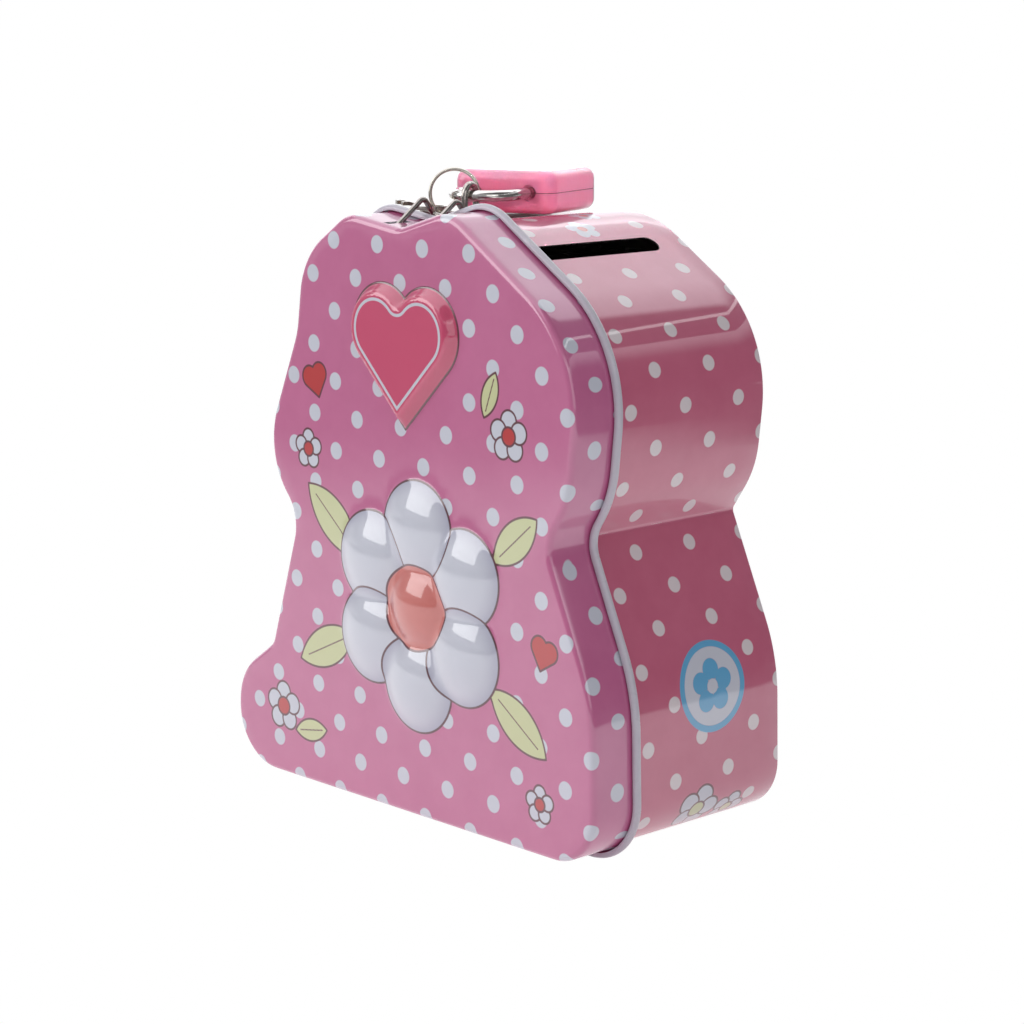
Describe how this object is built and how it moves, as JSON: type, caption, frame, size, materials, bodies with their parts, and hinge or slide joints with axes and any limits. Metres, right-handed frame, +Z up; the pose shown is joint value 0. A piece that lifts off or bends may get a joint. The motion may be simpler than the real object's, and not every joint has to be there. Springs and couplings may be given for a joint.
{
  "type": "tin money box",
  "caption": "Pressed tinplate money box with a wavy outline, hinged embossed front lid, coin slot in the shoulder, wire hasp and small padlock with keys on a split ring.",
  "frame": {"origin": "on the floor, under the middle of the whole object's box", "axes": "+X to the right seen from the front, +Y to the back, +Z up"},
  "size_m": [0.1286, 0.065, 0.1502],
  "materials": {
    "lid_tin": "gloss lacquer over print",
    "band_tin": "gloss lacquer over print",
    "back_tin": "gloss lacquer",
    "hinge_steel": "tinned",
    "hasp_wire": "drawn wire",
    "case_plastic": "moulded gloss",
    "lock_steel": "zinc plated",
    "shackle_chrome": "polished",
    "plug_brass": "turned",
    "ring_steel": "nickel plated",
    "key_steel": "nickel plated"
  },
  "bodies": {
    "box": {"body_band": "band_tin", "back_panel": "back_tin", "hinge_leaf": "hinge_steel", "hinge_pin": "hinge_steel", "hasp_staple": "hasp_wire", "staple_plate": "hinge_steel"},
    "lid": {"lid_shell": "lid_tin"},
    "bail": {"hasp_bail": "hasp_wire"},
    "shackle": {"padlock_shackle": "shackle_chrome"},
    "case": {"padlock_case_upper": "case_plastic", "padlock_case_lower": "case_plastic", "case_pins": "lock_steel", "latch_spring": "lock_steel"},
    "plug": {"lock_plug": "plug_brass", "plug_clip": "lock_steel"},
    "latch": {"latch_bolt": "lock_steel"},
    "ring": {"key_ring": "ring_steel"},
    "first_key": {"key_1": "key_steel"},
    "second_key": {"key_2": "key_steel"}
  },
  "joints": [
    {"name": "lid_swing", "type": "hinge", "parent": "box", "child": "lid", "pos_m": [0, -0.0164, 0.001], "axis": [1, 0, 0], "range_deg": [0, 105]},
    {"name": "bail_lift", "type": "hinge", "parent": "lid", "child": "bail", "pos_m": [0, -0.0247, 0.13736], "axis": [1, 0, 0], "range_deg": [0, 90]},
    {"name": "padlock_swing", "type": "hinge", "parent": "box", "child": "shackle", "pos_m": [0.00085, -0.0081, 0.14407], "axis": [0.9511, 0.309, 0], "range_deg": [0, 85]},
    {"name": "shackle_release", "type": "slide", "parent": "shackle", "child": "case", "axis": [-0.309, 0.9511, 0], "range_m": [0, 0.0065]},
    {"name": "plug_turn", "type": "hinge", "parent": "case", "child": "plug", "pos_m": [0.00085, -0.0081, 0.14407], "axis": [0.309, -0.9511, 0], "range_deg": [0, 90]},
    {"name": "latch_draw", "type": "slide", "parent": "case", "child": "latch", "axis": [-0.9511, -0.309, 0], "range_m": [0, 0.0026], "deforming": ["latch_spring"]},
    {"name": "ring_turn", "type": "hinge", "parent": "shackle", "child": "ring", "pos_m": [-0.00637, -0.00647, 0.14419], "axis": [0.7266, -0.6871, 0], "continuous": true},
    {"name": "key_1_swivel", "type": "hinge", "parent": "shackle", "child": "first_key", "pos_m": [-0.00866, -0.00889, 0.13969], "axis": [0, 0, 1], "range_deg": [-8, 30]},
    {"name": "key_2_swivel", "type": "hinge", "parent": "shackle", "child": "second_key", "pos_m": [-0.00948, -0.00976, 0.14089], "axis": [0, 0, 1], "range_deg": [-15, 25]}
  ],
  "couplings": [
    {"joint": "plug_turn", "follows": "shackle_release", "rad_per_m": 241.66},
    {"joint": "latch_draw", "follows": "shackle_release", "ratio": 0.4}
  ]
}
